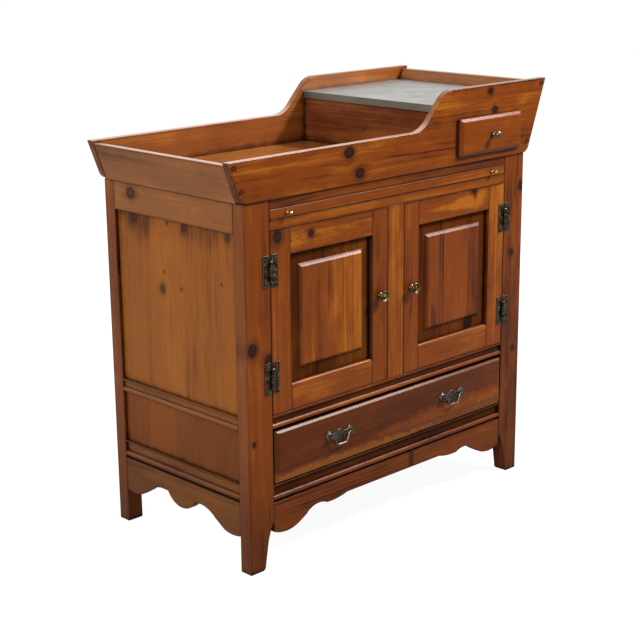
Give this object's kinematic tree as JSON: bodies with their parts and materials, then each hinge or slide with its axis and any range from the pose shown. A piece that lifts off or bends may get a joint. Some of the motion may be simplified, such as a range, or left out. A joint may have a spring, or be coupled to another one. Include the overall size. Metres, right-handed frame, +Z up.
{
  "type": "dry sink cabinet",
  "caption": "Antique pine dry sink with a flared tray, raised zinc deck, panelled doors, a wide drawer, a small tray drawer and a slide-out board.",
  "frame": {"origin": "on the floor, under the middle of the cabinet's bounding box", "axes": "+X along the front towards the high end of the tray, +Y to the back, +Z up"},
  "size_m": [1.0386, 0.511, 1],
  "materials": {
    "antique_pine": "satin",
    "plain_pine": "matte",
    "dark_pine": "satin",
    "zinc": "satin",
    "antique_brass": "satin",
    "polished_brass": "polished",
    "steel": "satin"
  },
  "bodies": {
    "cabinet": {"post_front_left": "antique_pine", "post_front_right": "antique_pine", "post_back_left": "antique_pine", "post_back_right": "antique_pine", "side_top_rails": "antique_pine", "side_mid_rails": "antique_pine", "side_bottom_rails": "antique_pine", "side_upper_panels": "antique_pine", "side_lower_panels": "antique_pine", "side_aprons": "antique_pine", "front_top_rail": "antique_pine", "front_slide_rail": "antique_pine", "center_stile": "antique_pine", "front_mid_rail": "antique_pine", "front_bottom_rail": "antique_pine", "front_apron": "antique_pine", "back_boards": "plain_pine", "back_rails": "plain_pine", "cupboard_floor": "plain_pine", "cupboard_shelf": "plain_pine", "shelf_cleats": "plain_pine", "drawer_runners": "plain_pine", "slide_runners": "plain_pine", "door_catches": "steel", "tray_floor": "antique_pine", "tray_front_board": "antique_pine", "tray_back_board": "antique_pine", "tray_end_left": "antique_pine", "tray_end_right": "antique_pine", "tray_divider": "antique_pine", "tray_deck": "antique_pine", "deck_zinc": "zinc", "tray_plugs": "dark_pine", "tray_drawer_runners": "plain_pine", "frame_hinge_leaves": "antique_brass", "hinge_pins": "antique_brass", "frame_hinge_screws": "antique_brass"},
    "left_door": {"left_door_stiles": "antique_pine", "left_door_rails": "antique_pine", "left_door_panel": "antique_pine", "left_door_knob": "polished_brass", "left_door_hinge_leaves": "antique_brass", "left_door_hinge_screws": "antique_brass"},
    "right_door": {"right_door_stiles": "antique_pine", "right_door_rails": "antique_pine", "right_door_panel": "antique_pine", "right_door_knob": "polished_brass", "right_door_hinge_leaves": "antique_brass", "right_door_hinge_screws": "antique_brass"},
    "drawer": {"drawer_front": "antique_pine", "drawer_box": "plain_pine", "drawer_bottom": "plain_pine", "drawer_pull_plates": "antique_brass"},
    "bail_left": {"left_bail": "antique_brass"},
    "bail_right": {"right_bail": "antique_brass"},
    "tray_drawer": {"tray_drawer_front": "antique_pine", "tray_drawer_box": "plain_pine", "tray_drawer_knob": "polished_brass"},
    "slide": {"slide_board": "antique_pine", "slide_knobs": "polished_brass"}
  },
  "joints": [
    {"name": "left_door_swing", "type": "hinge", "parent": "cabinet", "child": "left_door", "pos_m": [-0.40513, -0.2188, 0.5545], "axis": [0, 0, -1], "range_deg": [0, 170]},
    {"name": "right_door_swing", "type": "hinge", "parent": "cabinet", "child": "right_door", "pos_m": [0.37287, -0.2188, 0.5545], "axis": [0, 0, 1], "range_deg": [0, 170]},
    {"name": "drawer_slide", "type": "slide", "parent": "cabinet", "child": "drawer", "axis": [0, -1, 0], "range_m": [0, 0.3]},
    {"name": "left_bail_lift", "type": "hinge", "parent": "drawer", "child": "bail_left", "pos_m": [-0.20913, -0.23, 0.264], "axis": [-1, 0, 0], "range_deg": [0, 85]},
    {"name": "right_bail_lift", "type": "hinge", "parent": "drawer", "child": "bail_right", "pos_m": [0.17687, -0.23, 0.264], "axis": [-1, 0, 0], "range_deg": [0, 85]},
    {"name": "tray_drawer_slide", "type": "slide", "parent": "cabinet", "child": "tray_drawer", "axis": [0, -1, 0], "range_m": [0, 0.27]},
    {"name": "slide_board_slide", "type": "slide", "parent": "cabinet", "child": "slide", "axis": [0, -1, 0], "range_m": [0, 0.28]}
  ]
}
